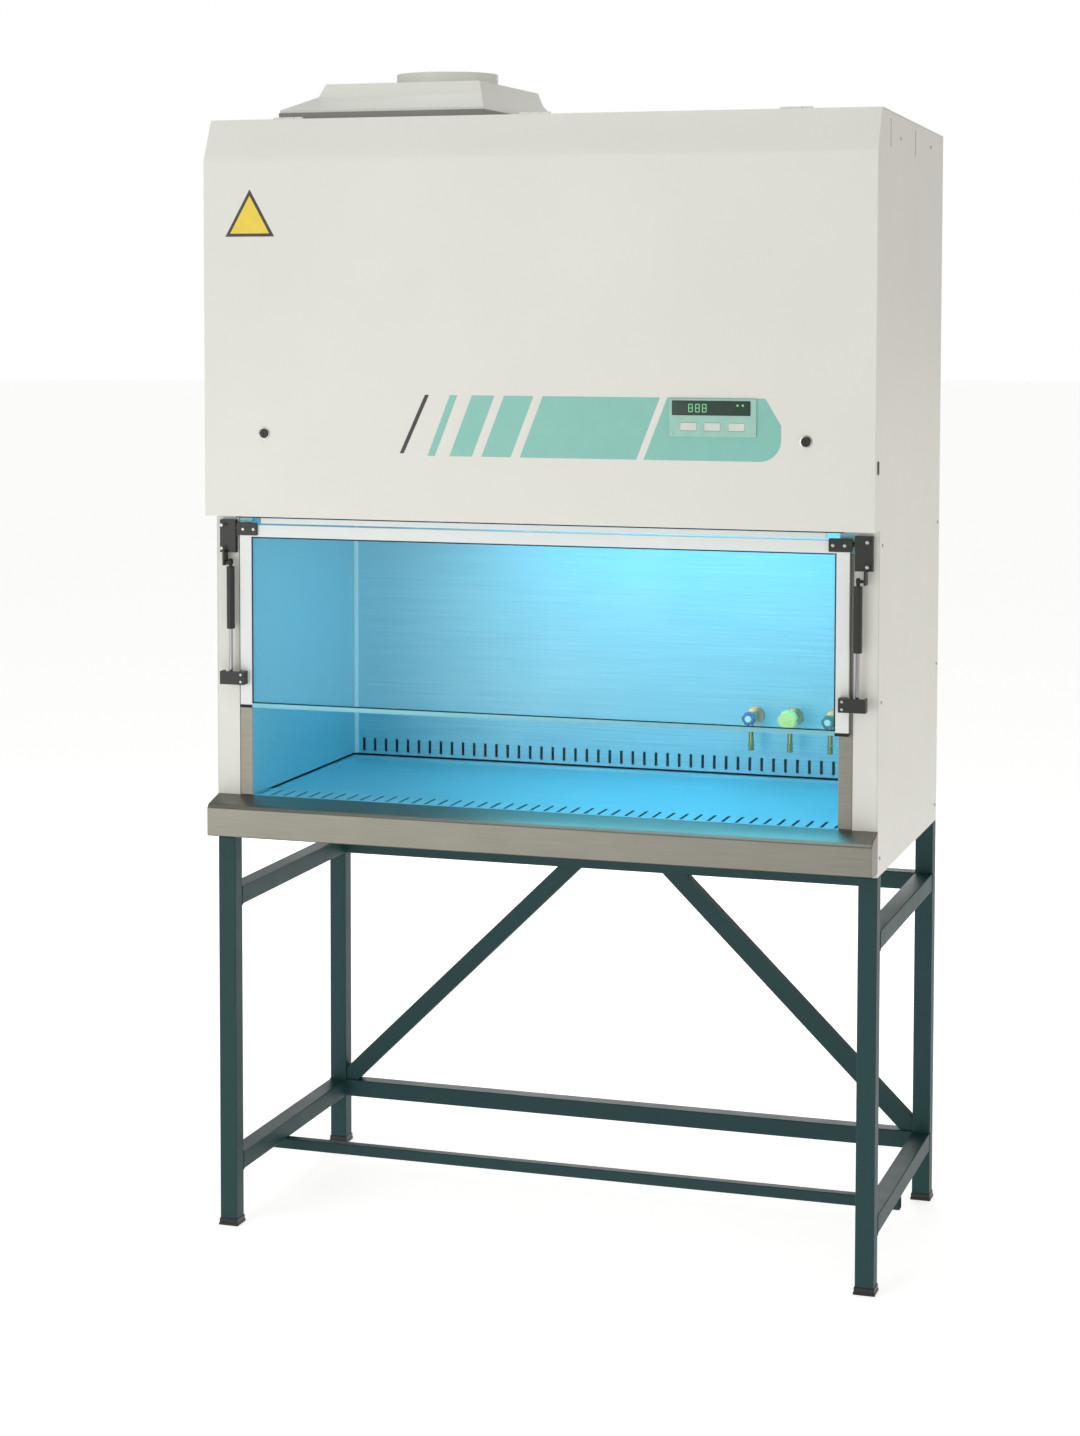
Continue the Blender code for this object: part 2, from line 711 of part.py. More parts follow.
def make_cowl():
    """Exhaust cowl over the roof opening, with a round collar for a duct."""
    bm = bmesh.new()
    loft_rings(bm, cowl_rings(0))
    cowl = add("exhaust_cowl", bm, "grey_paint")
    collar = circle(COLLAR_RADIUS, 32, COLLAR_CENTRE)
    join(cowl, prism("joined_collar", collar, "Z", COWL_Z[2] - 0.004, COWL_Z[3], "grey_paint"))
    bm = bmesh.new()
    loft_rings(bm, cowl_rings(SHEET))
    cut(cowl, add("cutter_cowl", bm, "grey_paint"))
    bore = circle(COLLAR_RADIUS - 0.004, 32, COLLAR_CENTRE)
    cut(cowl, prism("cutter_collar", bore, "Z", COWL_Z[2] - 0.030, COWL_Z[3] + 0.010, "grey_paint"))


def make_lamp():
    """Fluorescent tube behind the lower edge of the hood."""
    reach = 0.570
    cap = 0.020
    profile = [
        (0, -reach),
        (0.009, -reach),
        (0.009, -reach + cap),
        (0.013, -reach + cap + 0.002),
        (0.013, reach - cap - 0.002),
        (0.009, reach - cap),
        (0.009, reach),
        (0, reach),
    ]
    turned("lamp_tube", profile, "X", (-0.285, 1.456), "lamp_white", count=SMALL_ROUND)


# Sash and gas struts -------------------------------------------------------------------------------------
def make_sash():
    axis = (0, *SASH_AXIS)
    y0, y1 = SASH_Y
    z0, z1 = SASH_Z
    half = SASH_HALF
    frame = box("sash_frame", (-half, y0, z0), (half, y1, z1), "white_paint", axis)
    low = (-half + SASH_STILE, y0 - 0.01, z0 + SASH_SILL)
    high = (half - SASH_STILE, y1 + 0.01, z1 - SASH_RAIL)
    cut(frame, box("cutter_sash", low, high, "white_paint"))
    glass_low = (low[0] + GAP, y0 + 0.0015, low[2] + GAP)
    glass_high = (high[0] - GAP, y1 - 0.0015, high[2] - GAP)
    box("sash_glass", glass_low, glass_high, "clear_glass", axis)


def make_hinge_brackets():
    """Black brackets on the pillars that carry the sash pin and the upper pin of each strut."""
    axis_y, axis_z = SASH_AXIS
    for side, sign in sides():
        x0, x1 = span(sign, *BRACKET_X)
        low = (x0, SASH_Y[0], BRACKET_Z[0])
        bracket = box(f"hinge_bracket_{side}", low, (x1, PILLAR_Y - GAP, BRACKET_Z[1]), "black_metal")
        e0, e1 = span(sign, *EAR_X)
        ear_low = (e0, STRUT_Y - 0.006, STRUT_TOP_Z - 0.007)
        ear_high = (e1, SASH_Y[1], BRACKET_Z[0] + 0.005)
        join(bracket, box(f"joined_ear_{side}", ear_low, ear_high, "black_metal"))
        p0, p1 = span(sign, SASH_HALF + 0.0008, 0.620)
        pin = circle(0.004, 12, (axis_y, axis_z))
        join(bracket, prism(f"joined_sash_pin_{side}", pin, "X", p0, p1, "black_metal"))
        s0, s1 = span(sign, 0.619, 0.636)
        stud = circle(0.003, 12, (STRUT_Y, STRUT_TOP_Z))
        join(bracket, prism(f"joined_strut_pin_{side}", stud, "X", s0, s1, "black_metal"))


def make_struts():
    """Gas struts: a bored cylinder on the upper pin, and a rod that slides out of it."""
    for side, sign in sides():
        x = sign * STRUT_X
        top = (x, STRUT_Y, STRUT_TOP_Z)
        foot = (x, STRUT_Y, STRUT_FOOT_Z)
        body_top = STRUT_TOP_Z - 0.009
        bore_top = body_top - 0.008
        profile = [
            (0, bore_top),
            (ROD_RADIUS + ROD_PLAY, bore_top),
            (ROD_RADIUS + ROD_PLAY, STRUT_END_Z),
            (STRUT_RADIUS, STRUT_END_Z),
            (STRUT_RADIUS, body_top),
            (0, body_top),
        ]
        bm = bmesh.new()
        add_turned(bm, profile, "Z", (x, STRUT_Y), SMALL_ROUND)
        cylinder = smooth(add(f"strut_cylinder_{side}", bm, "black_metal", top))
        half = EYE_THICK / 2
        eye_disc = circle(0.0065, SMALL_ROUND, (STRUT_Y, STRUT_TOP_Z))
        join(cylinder, prism(f"joined_eye_{side}", eye_disc, "X", x - half, x + half, "black_metal"))
        neck_low = (x - half, STRUT_Y - 0.003, body_top - 0.004)
        neck_high = (x + half, STRUT_Y + 0.003, STRUT_TOP_Z - 0.004)
        join(cylinder, box(f"joined_neck_{side}", neck_low, neck_high, "black_metal"))
        hole = circle(0.0036, 12, (STRUT_Y, STRUT_TOP_Z))
        cut(cylinder, prism(f"cutter_eye_{side}", hole, "X", x - 0.01, x + 0.01, "black_metal"))

        rod_top = bore_top - 0.012
        rod_profile = [
            (0, STRUT_FOOT_Z),
            (ROD_RADIUS, STRUT_FOOT_Z),
            (ROD_RADIUS, rod_top),
            (0, rod_top),
        ]
        rod = turned(f"strut_rod_{side}", rod_profile, "Z", (x, STRUT_Y), "rod_steel", foot, SMALL_ROUND)
        rod_eye = circle(0.006, SMALL_ROUND, (STRUT_Y, STRUT_FOOT_Z))
        join(rod, prism(f"joined_rod_eye_{side}", rod_eye, "X", x - half, x + half, "rod_steel"))


def make_strut_feet():
    """Brackets on the sash that reach round the lower end of each strut."""
    back = SASH_Y[0] - GAP
    edge, web, ear_in, ear_out = FOOT_X
    front, inner, ear_end = FOOT_Y
    section = [
        (edge, back),
        (web, back),
        (web, inner),
        (ear_in, inner),
        (ear_in, ear_end),
        (ear_out, ear_end),
        (ear_out, front),
        (edge, front),
    ]
    for side, sign in sides():
        outline = [(sign * x, y) for x, y in section]
        prism(f"strut_foot_{side}", outline, "Z", *FOOT_Z, "black_metal", (0, *SASH_AXIS))


# Hood fittings -------------------------------------------------------------------------------------------
def make_control_panel():
    """Plate for the display, with pockets for three push keys."""
    face = FRONT - GAP
    low = (PANEL_X[0], face - PANEL_PROUD, PANEL_Z[0])
    panel = box("control_panel", low, (PANEL_X[1], face, PANEL_Z[1]), "panel_plastic")
    bm = bmesh.new()
    w, h = BUTTON_SIZE[0] / 2 + GAP, BUTTON_SIZE[1] / 2 + GAP
    for x in BUTTON_X:
        add_box(bm, (x - w, face - 0.01, BUTTON_Z - h), (x + w, face + 0.01, BUTTON_Z + h))
    cut(panel, add("cutter_keys", bm, "panel_plastic"))
    w, h = BUTTON_SIZE[0] / 2, BUTTON_SIZE[1] / 2
    for i, x in enumerate(BUTTON_X):
        low = (x - w, FRONT - PROUD, BUTTON_Z - h)
        high = (x + w, FRONT - PROUD + 0.002, BUTTON_Z + h)
        box(f"button_{i + 1}", low, high, "key_plastic", (x, FRONT - PROUD, BUTTON_Z))


def make_locks():
    """Key locks that hold the hood shut."""
    for (side, _), x in zip(sides(), LOCK_X):
        profile = [
            (0, FRONT - GAP),
            (LOCK_RADIUS + 0.002, FRONT - GAP),
            (LOCK_RADIUS + 0.002, FRONT - 0.0015),
            (LOCK_RADIUS, FRONT - PROUD),
            (0, FRONT - PROUD),
        ]
        lock = turned(f"key_lock_{side}", profile, "Y", (x, LOCK_Z), "black_metal", (x, FRONT, LOCK_Z))
        slot_low = (x - 0.0008, FRONT - PROUD - 0.002, LOCK_Z - 0.004)
        slot_high = (x + 0.0008, FRONT - 0.002, LOCK_Z + 0.004)
        cut(lock, box(f"cutter_lock_{side}", slot_low, slot_high, "black_metal"))


def make_catches():
    """Turn catches on the sides of the hood."""
    y, z = CATCH_YZ
    radius, straight = 0.005, 0.0075
    upper = [(y + radius * math.cos(a), z + straight + radius * math.sin(a)) for a in half_circle(0)]
    lower = [(y + radius * math.cos(a), z - straight + radius * math.sin(a)) for a in half_circle(math.pi)]
    for side, sign in sides():
        x0, x1 = span(sign, HALF + GAP, HALF + 0.002)
        prism(f"side_catch_{side}", upper + lower, "X", x0, x1, "black_metal", (sign * HALF, y, z))


def half_circle(start):
    return [start + math.pi * i / 6 for i in range(7)]


# Taps and inlet ------------------------------------------------------------------------------------------
def make_taps():
    """Service taps on the back wall: a body with a spout, and a knob on its front."""
    colours = ("blue_plastic", "yellow_plastic", "green_plastic")
    names = ("left", "centre", "right")
    wall = CHAMBER_BACK - GAP
    for name, x, colour, radius in zip(names, TAP_X, colours, TAP_KNOB_RADII):
        profile = [
            (0, wall),
            (0.016, wall),
            (0.016, wall - 0.006),
            (0.007, wall - 0.007),
            (0.007, wall - 0.034),
            (0.011, wall - 0.035),
            (0.011, wall - 0.052),
            (0, wall - 0.052),
        ]
        body = turned(f"tap_body_{name}", profile, "Y", (x, TAP_Z), "brass", count=SMALL_ROUND)
        spout = circle(0.005, 12, (x, wall - 0.043))
        join(body, prism(f"joined_spout_{name}", spout, "Z", TAP_Z - 0.068, TAP_Z - 0.002, "brass"))
        front = wall - 0.052 - GAP
        knob = [
            (0, front),
            (radius * 0.7, front),
            (radius, front - 0.004),
            (radius, front - 0.016),
            (radius * 0.8, front - 0.020),
            (0, front - 0.020),
        ]
        made = turned(f"tap_knob_{name}", knob, "Y", (x, TAP_Z), colour, (x, front, TAP_Z), SMALL_ROUND)
        bm = bmesh.new()
        for i in range(5):
            turn = 2 * math.pi * i / 5
            reach = radius * 1.12
            centre = (x + reach * math.cos(turn), TAP_Z + reach * math.sin(turn))
            add_prism(bm, circle(radius * 0.30, 8, centre), "Y", front - 0.03, front + 0.01)
        cut(made, add(f"cutter_flutes_{name}", bm, colour))


def make_inlet():
    """Mains inlet on the back panel."""
    y0 = REAR + GAP
    y1 = REAR + PROUD
    inlet = box("mains_inlet", (0.500, y0, 2.000), (0.560, y1, 2.035), "black_plastic")
    cut(inlet, box("cutter_inlet", (0.506, y0 + 0.001, 2.005), (0.554, y1 + 0.01, 2.030), "black_plastic"))


clear_scene()
make_legs()
make_rails()
make_foot_bar()
make_braces()
make_side_panels()
make_back_panel()
make_roof()
make_hood()
make_armrest()
make_sump_pan()
make_pillars()
make_liners()
make_back_liner()
make_front_grille()
make_worktop()
make_filters()
make_plenum()
make_scroll()
make_impeller()
make_motor()
make_cowl()
make_lamp()
make_sash()
make_hinge_brackets()
make_struts()
make_strut_feet()
make_control_panel()
make_locks()
make_catches()
make_taps()
make_inlet()
bpy.context.view_layer.update()
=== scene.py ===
"""Looks of a Class II safety cabinet: materials, small fittings, light and camera over the CAD frame."""

import json
import math

import bmesh
import bpy
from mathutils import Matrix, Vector


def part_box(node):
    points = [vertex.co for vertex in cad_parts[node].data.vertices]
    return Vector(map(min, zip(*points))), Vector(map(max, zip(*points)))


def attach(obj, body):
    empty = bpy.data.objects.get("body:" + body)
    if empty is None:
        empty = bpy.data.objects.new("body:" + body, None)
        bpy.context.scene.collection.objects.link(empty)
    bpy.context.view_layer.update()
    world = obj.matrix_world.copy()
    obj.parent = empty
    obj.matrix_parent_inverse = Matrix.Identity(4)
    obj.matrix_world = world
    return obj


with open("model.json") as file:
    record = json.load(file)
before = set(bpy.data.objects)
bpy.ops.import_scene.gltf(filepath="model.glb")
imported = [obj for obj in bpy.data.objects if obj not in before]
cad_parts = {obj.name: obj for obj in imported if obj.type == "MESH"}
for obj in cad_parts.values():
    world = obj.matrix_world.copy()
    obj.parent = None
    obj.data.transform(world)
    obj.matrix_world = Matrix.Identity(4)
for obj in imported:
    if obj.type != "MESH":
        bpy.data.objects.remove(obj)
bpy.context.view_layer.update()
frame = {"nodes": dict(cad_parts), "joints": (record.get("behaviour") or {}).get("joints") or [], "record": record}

NODES = frame["nodes"]

# Places taken from the frame ---------------------------------------------------------------------------
HOOD_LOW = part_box("hood_cover")[0]
HOOD_FACE = HOOD_LOW.y
SASH_LOW, SASH_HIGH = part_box("sash_frame")
PANEL_LOW, PANEL_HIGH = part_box("control_panel")
BACK_LOW, BACK_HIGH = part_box("back_panel")
LAMP_LOW, LAMP_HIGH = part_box("lamp_tube")
INLET_LOW, INLET_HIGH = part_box("mains_inlet")
COWL_LOW, COWL_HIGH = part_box("exhaust_cowl")
CHAMBER_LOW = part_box("liner_left")[0]
CHAMBER_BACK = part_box("liner_back")[0].y
ROOF_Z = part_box("roof_panel")[1].z
FILM = 0.00025  # thickness of a printed film on the hood
BAR_FILM = 0.0006  # thickness of the dark bar beside the stripes
TAP_Z = 0.998  # height of the tap spindles
CHAMBER_TOP = 1.447
JAMB_TOP = 1.385  # ends below the sash arms
EDGE_SCREW_X = 0.635
HINGE_CENTRES = (-0.500, 0.0, 0.500)
FOOT_SCREW_X = 0.597
BRACKET_SCREW_X = 0.640
FORWARD = (0, -1, 0)  # out of the front, towards the operator
BACKWARD = (0, 1, 0)
RAILS = ("upper", "lower")


# Materials ---------------------------------------------------------------------------------------------
def srgb(red, green, blue):
    """Linear colour from 0-255 screen values."""
    def linear(value):
        v = value / 255
        return v / 12.92 if v <= 0.04045 else ((v + 0.055) / 1.055) ** 2.4

    return (linear(red), linear(green), linear(blue))


def shade(colour, factor):
    return (*(min(1.0, c * factor) for c in colour), 1.0)


class Surface:
    """A Principled material whose colour, roughness and relief come from procedural noise."""

    def __init__(self, name, colour, roughness, metallic=0.0):
        self.material = bpy.data.materials.new(name)
        self.material.use_nodes = True
        self.tree = self.material.node_tree
        self.shader = self.tree.nodes["Principled BSDF"]
        self.shader.inputs["Metallic"].default_value = metallic
        self.colour = colour
        self.roughness = roughness
        self.place = self.tree.nodes.new("ShaderNodeTexCoord").outputs["Object"]

    def node(self, kind, **values):
        made = self.tree.nodes.new(kind)
        for key, value in values.items():
            made.inputs[key].default_value = value
        return made

    def link(self, out, socket):
        self.tree.links.new(out, socket)

    def noise(self, scale, detail=3.0, stretch=(1, 1, 1)):
        mapping = self.node("ShaderNodeMapping", Scale=stretch)
        self.link(self.place, mapping.inputs["Vector"])
        made = self.node("ShaderNodeTexNoise", Scale=scale, Detail=detail)
        self.link(mapping.outputs["Vector"], made.inputs["Vector"])
        return made.outputs["Fac"]

    def cells(self, scale, randomness=1.0):
        made = self.node("ShaderNodeTexVoronoi", Scale=scale, Randomness=randomness)
        self.link(self.place, made.inputs["Vector"])
        return made

    def paint(self, fac, low=0.96, high=1.04, span=(0.3, 0.7)):
        ramp = self.tree.nodes.new("ShaderNodeValToRGB")
        ramp.color_ramp.elements[0].position = span[0]
        ramp.color_ramp.elements[1].position = span[1]
        ramp.color_ramp.elements[0].color = shade(self.colour, low)
        ramp.color_ramp.elements[1].color = shade(self.colour, high)
        self.link(fac, ramp.inputs["Fac"])
        self.link(ramp.outputs["Color"], self.shader.inputs["Base Color"])

    def gloss(self, fac, spread=0.06):
        rough = self.node("ShaderNodeMapRange")
        rough.inputs["To Min"].default_value = max(0.0, self.roughness - spread)
        rough.inputs["To Max"].default_value = min(1.0, self.roughness + spread)
        self.link(fac, rough.inputs["Value"])
        self.link(rough.outputs["Result"], self.shader.inputs["Roughness"])

    def relief(self, fac, strength=0.2, distance=0.0003):
        bump = self.node("ShaderNodeBump", Strength=strength, Distance=distance)
        self.link(fac, bump.inputs["Height"])
        self.link(bump.outputs["Normal"], self.shader.inputs["Normal"])


def powder_coat(name, colour, roughness=0.42, coat=0.12):
    """Orange-peel powder coat with faint handling marks."""
    made = Surface(name, colour, roughness)
    made.paint(made.noise(2.5, 5.0), 0.975, 1.015)
    made.gloss(made.noise(14.0, 4.0))
    made.relief(made.noise(900.0, 2.0), 0.12, 0.0002)
    made.shader.inputs["Coat Weight"].default_value = coat
    made.shader.inputs["Specular IOR Level"].default_value = 0.35
    made.shader.inputs["Coat Roughness"].default_value = 0.25
    return made.material


def brushed_steel(name, colour, roughness=0.30, grain=(3, 260, 260)):
    """Steel with long grain, darker and brighter streaks and soft smudges."""
    made = Surface(name, colour, roughness, 1.0)
    streaks = made.noise(3.0, 6.0, grain)
    made.paint(streaks, 0.90, 1.08)
    made.gloss(made.noise(9.0, 4.0), 0.09)
    made.relief(streaks, 0.10, 0.0002)
    return made.material


def zinc(name, colour):
    """Galvanised sheet with its spangle."""
    made = Surface(name, colour, 0.45, 1.0)
    spangle = made.cells(55.0)
    made.paint(spangle.outputs["Distance"], 0.85, 1.12, (0.0, 0.8))
    made.gloss(spangle.outputs["Distance"], 0.12)
    made.relief(made.noise(300.0), 0.10)
    return made.material


def moulded(name, colour, roughness=0.38, vary=0.05):
    """Moulded plastic with a fine grain."""
    made = Surface(name, colour, roughness)
    made.paint(made.noise(40.0, 4.0), 1 - vary, 1 + vary)
    made.gloss(made.noise(25.0), 0.07)
    made.relief(made.noise(1600.0, 2.0), 0.15, 0.0001)
    return made.material


def pleated(name, colour):
    """Filter paper folded in close pleats, with darker bands painted as shade in the folds."""
    made = Surface(name, colour, 0.9)
    waves = made.node("ShaderNodeTexWave", Scale=95.0, Distortion=0.4)
    made.link(made.place, waves.inputs["Vector"])
    # Darker bands along the waves: painted shade in the pleat folds; the bump gives the pleats' relief.
    made.paint(waves.outputs["Fac"], 0.72, 1.02, (0.1, 0.9))
    made.gloss(made.noise(60.0), 0.05)
    made.relief(waves.outputs["Fac"], 0.6, 0.002)
    return made.material


def perforated(name, colour):
    """White sheet with a regular field of small holes, drawn as dark dots whose darkness is painted shade behind
    the sheet.
    """
    made = Surface(name, colour, 0.45)
    dots = made.cells(85.0, 0.0)
    # The dark dots mark the holes; their darkness is painted shade of the space behind the sheet.
    made.paint(dots.outputs["Distance"], 0.12, 1.0, (0.26, 0.30))
    made.gloss(made.noise(20.0), 0.05)
    made.relief(dots.outputs["Distance"], 0.3, 0.0005)
    return made.material


def lit_tube(name, colour, strength):
    """Fluorescent tube, dimmer where the phosphor thins."""
    made = Surface(name, colour, 0.3)
    made.paint(made.noise(30.0), 0.97, 1.0)
    made.gloss(made.noise(12.0), 0.05)
    made.shader.inputs["Emission Color"].default_value = (*colour, 1.0)
    made.shader.inputs["Emission Strength"].default_value = strength
    return made.material


def pane(name, colour, alpha):
    """Clear sheet with faint smears in its gloss."""
    made = Surface(name, colour, 0.05)
    made.paint(made.noise(3.0), 0.98, 1.0)
    made.gloss(made.noise(6.0, 5.0), 0.04)
    made.shader.inputs["Alpha"].default_value = alpha
    made.shader.inputs["IOR"].default_value = 1.5
    return made.material


MATERIALS = {
    "ivory_paint": powder_coat("ivory_paint", srgb(231, 231, 224)),
    "teal_paint": powder_coat("teal_paint", srgb(20, 62, 64), 0.50, 0.0),
    "grey_paint": powder_coat("grey_paint", srgb(230, 231, 225)),
    "white_paint": powder_coat("white_paint", srgb(236, 240, 238), 0.35),
    "stainless": brushed_steel("stainless", srgb(176, 177, 174)),
    "galvanised": zinc("galvanised", srgb(172, 176, 178)),
    "filter_media": pleated("filter_media", srgb(232, 232, 226)),
    "black_metal": powder_coat("black_metal", srgb(40, 43, 38), 0.40),
    "black_plastic": moulded("black_plastic", srgb(28, 28, 28)),
    "rod_steel": brushed_steel("rod_steel", srgb(150, 146, 152), 0.16, (200, 200, 4)),
    "clear_glass": pane("clear_glass", srgb(150, 222, 240), 0.08),
    "lamp_white": lit_tube("lamp_white", srgb(170, 226, 255), 2.0),
    "panel_plastic": moulded("panel_plastic", srgb(158, 205, 192)),
    "key_plastic": moulded("key_plastic", srgb(216, 219, 214)),
    "yellow_plastic": moulded("yellow_plastic", srgb(250, 242, 130), 0.25),
    "blue_plastic": moulded("blue_plastic", srgb(40, 96, 150), 0.25),
    "green_plastic": moulded("green_plastic", srgb(30, 120, 92), 0.25),
    "brass": brushed_steel("brass", srgb(196, 178, 120), 0.28, (40, 40, 40)),
}
MINT = moulded("mint_film", srgb(132, 197, 184), 0.30, 0.02)
SIGN_YELLOW = moulded("sign_yellow", srgb(236, 206, 44), 0.30)
SIGN_BLACK = moulded("sign_black", srgb(36, 34, 30), 0.32)
DISPLAY = moulded("display_window", srgb(24, 58, 42), 0.12)
DIGIT = lit_tube("display_digit", srgb(110, 190, 130), 0.5)
EDGE_TRIM = moulded("edge_trim", srgb(120, 196, 214), 0.15)
# Dark grey of the band at the foot of the cowl: painted shade of the gap there.
COWL_FOOT_SHADE = powder_coat("cowl_foot_painted_shade", srgb(140, 141, 136))
GASKET = moulded("gasket_rubber", srgb(22, 24, 24), 0.7)
DIFFUSER = perforated("diffuser_sheet", srgb(226, 232, 232))
# Steel of the chamber liners, worktop and front grille: its cyan tint is painted light, the blue-cyan chamber
# light laid into the base colour.
CHAMBER_STEEL_PAINTED_CYAN = brushed_steel("chamber_steel_painted_cyan", srgb(158, 208, 218), 0.50, (2, 160, 160))
CHAMBER_STEEL_PAINTED_CYAN.node_tree.nodes["Principled BSDF"].inputs["Metallic"].default_value = 0.55
ARMREST_STEEL = brushed_steel("armrest_steel", srgb(138, 136, 126), 0.42)
SCREW = brushed_steel("screw_steel", srgb(190, 190, 186), 0.28, (60, 60, 60))

SPECIAL = {
    "armrest": ARMREST_STEEL,
    "liner_back": CHAMBER_STEEL_PAINTED_CYAN,
    "liner_left": CHAMBER_STEEL_PAINTED_CYAN,
    "liner_right": CHAMBER_STEEL_PAINTED_CYAN,
    "worktop": CHAMBER_STEEL_PAINTED_CYAN,
    "front_grille": CHAMBER_STEEL_PAINTED_CYAN,
}
ROUNDING = {
    "armrest": 0.0020,
    "exhaust_cowl": 0.0015,
    "hood_cover": 0.0012,
    "control_panel": 0.0008,
    "sash_frame": 0.0012,
    "foot_bar": 0.0020,
    "side_panel_left": 0.0005,
    "side_panel_right": 0.0005,
}
TUBE_ROUNDING = 0.0025


def dress_frame():
    """Gives each CAD node its material and softly rounded edges."""
    slots = {part["node"]: part["material_slot"] for part in frame["record"]["subparts"]}
    for name, node in NODES.items():
        node.data.materials.clear()
        node.data.materials.append(SPECIAL.get(name, MATERIALS[slots[name]]))
        width = TUBE_ROUNDING if name.startswith(("leg_", "upper_", "lower_")) else ROUNDING.get(name)
        if width is None:
            continue
        weld = node.modifiers.new("weld", "WELD")
        weld.merge_threshold = 0.00001
        bevel = node.modifiers.new("bevel", "BEVEL")
        bevel.width = width
        bevel.segments = 3
        bevel.limit_method = "ANGLE"
        bevel.angle_limit = math.radians(40)
        node.modifiers.new("normals", "WEIGHTED_NORMAL")


# Shapes ------------------------------------------------------------------------------------------------
def finish_piece(name, bm, material, body, bevel=0.0):
    """Makes the object, rounds its edges and has it ride on a body."""
    bmesh.ops.recalc_face_normals(bm, faces=bm.faces)
    mesh = bpy.data.meshes.new(name)
    bm.to_mesh(mesh)
    bm.free()
    made = bpy.data.objects.new(name, mesh)
    bpy.context.scene.collection.objects.link(made)
    mesh.materials.append(material)
    if bevel:
        rounded = made.modifiers.new("bevel", "BEVEL")
        rounded.width = bevel
        rounded.segments = 2
        rounded.limit_method = "ANGLE"
        rounded.angle_limit = math.radians(35)
        made.modifiers.new("normals", "WEIGHTED_NORMAL")
    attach(made, body)
    return made


def add_block(bm, low, high):
    corners = [(x, y, z) for x in (low[0], high[0]) for y in (low[1], high[1]) for z in (low[2], high[2])]
    v = [bm.verts.new(c) for c in corners]
    for face in ((0, 1, 3, 2), (4, 6, 7, 5), (0, 4, 5, 1), (2, 3, 7, 6), (0, 2, 6, 4), (1, 5, 7, 3)):
        bm.faces.new([v[i] for i in face])


def add_plate(bm, outline, back, front):
    """An upright plate in X and Z between two depths."""
    rear = [bm.verts.new((x, back, z)) for x, z in outline]
    near = [bm.verts.new((x, front, z)) for x, z in outline]
    bm.faces.new(rear)
    bm.faces.new(list(reversed(near)))
    for i, a in enumerate(rear):
        j = (i + 1) % len(rear)
        bm.faces.new((a, rear[j], near[j], near[i]))


def add_turned(bm, profile, centre, axis, count=20):
    """Turns a profile of (radius, height) about an axis through centre."""
    turn = Vector((0, 0, 1)).rotation_difference(Vector(axis)).to_matrix()
    rings = []
    for radius, height in profile:
        ring = []
        for i in range(count if radius else 1):
            angle = 2 * math.pi * i / count
            local = Vector((radius * math.cos(angle), radius * math.sin(angle), height))
            ring.append(bm.verts.new(Vector(centre) + turn @ local))
        rings.append(ring)
    for a, b in zip(rings, rings[1:]):
        for i in range(count):
            j = (i + 1) % count
            corners = [a[i % len(a)], a[j % len(a)], b[j % len(b)], b[i % len(b)]]
            unique = list(dict.fromkeys(corners))
            if len(unique) > 2:
                bm.faces.new(unique)


def blocks(name, boxes, material, body, bevel=0.0):
    bm = bmesh.new()
    for low, high in boxes:
        add_block(bm, low, high)
    return finish_piece(name, bm, material, body, bevel)


def plates(name, outlines, face, thickness, material, body):
    bm = bmesh.new()
    for outline in outlines:
        add_plate(bm, outline, face, face - thickness)
    return finish_piece(name, bm, material, body, min(0.0003, thickness / 3))


def screws(name, points, axis, body, radius=0.0042, material=None):
    """Pan-head screws with a round socket."""
    rise = radius * 0.42
    profile = [
        (0, rise * 0.35),
        (radius * 0.42, rise * 0.35),
        (radius * 0.48, rise * 0.95),
        (radius * 0.70, rise * 0.90),
        (radius * 0.93, rise * 0.50),
        (radius, 0.0),
        (0, 0.0),
    ]
    bm = bmesh.new()
    for point in points:
        add_turned(bm, profile, point, axis, 16)
    return finish_piece(name, bm, material or SCREW, body)


def steps(start, end, count):
    return [start + (end - start) * i / (count - 1) for i in range(count)]


# Stand -------------------------------------------------------------------------------------------------
def foot_caps():
    """Plastic caps with a wider rim at the floor, on the four legs."""
    proud = 0.0015
    boxes = []
    for leg in ("leg_front_left", "leg_front_right", "leg_rear_left", "leg_rear_right"):
        low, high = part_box(leg)
        boxes.append(((low.x - proud, low.y - proud, 0.0), (high.x + proud, high.y + proud, 0.014)))
        rib = proud * 1.8
        boxes.append(((low.x - rib, low.y - rib, 0.0), (high.x + rib, high.y + rib, 0.005)))
    blocks("foot_caps", boxes, MATERIALS["black_plastic"], "cabinet", 0.001)


def weld_beads():
    """Fillet welds round the ends of the rails."""
    loops = []
    for rail in (f"{level}_side_rail_{side}" for level in RAILS for side in ("left", "right")):
        low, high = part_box(rail)
        for y in (low.y, high.y):
            loops.append([(low.x, y, low.z), (high.x, y, low.z), (high.x, y, high.z), (low.x, y, high.z)])
    for rail in (f"{level}_rear_rail" for level in RAILS):
        low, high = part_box(rail)
        for x in (low.x, high.x):
            loops.append([(x, low.y, low.z), (x, high.y, low.z), (x, high.y, high.z), (x, low.y, high.z)])
    curve = bpy.data.curves.new("weld_beads", "CURVE")
    curve.dimensions = "3D"
    curve.bevel_depth = 0.0016
    curve.bevel_resolution = 2
    for loop in loops:
        spline = curve.splines.new("POLY")
        spline.points.add(len(loop) - 1)
        for point, place in zip(spline.points, loop):
            point.co = (*place, 1.0)
        spline.use_cyclic_u = True
    made = bpy.data.objects.new("weld_beads", curve)
    bpy.context.scene.collection.objects.link(made)
    curve.materials.append(MATERIALS["teal_paint"])
    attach(made, "cabinet")


